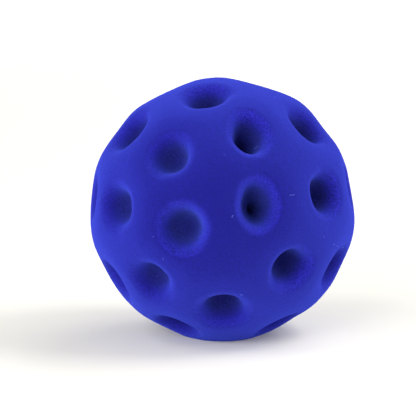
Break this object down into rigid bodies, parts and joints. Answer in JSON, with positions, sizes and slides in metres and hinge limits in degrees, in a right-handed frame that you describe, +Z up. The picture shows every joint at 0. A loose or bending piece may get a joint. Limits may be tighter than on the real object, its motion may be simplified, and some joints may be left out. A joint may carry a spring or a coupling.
{
  "type": "stress ball",
  "caption": "Soft dimpled foam ball with a velvety flocked surface, for squeezing in the hand.",
  "frame": {"origin": "on the surface that the ball rests on, under the middle of the ball", "axes": "+Z up, -Y towards the side with the two deep dimples, +X to the right seen from that side"},
  "size_m": [0.0697, 0.0695, 0.0678],
  "materials": {
    "latex_foam": "matte open-cell latex foam, dyed blue",
    "flock_adhesive": "thin flexible film, satin",
    "flock_pile": "ultramarine short-pile velvet flock"
  },
  "bodies": {
    "root": {"foam_core": "latex_foam", "adhesive_coat": "flock_adhesive", "flock_coat": "flock_pile"}
  },
  "joints": []
}
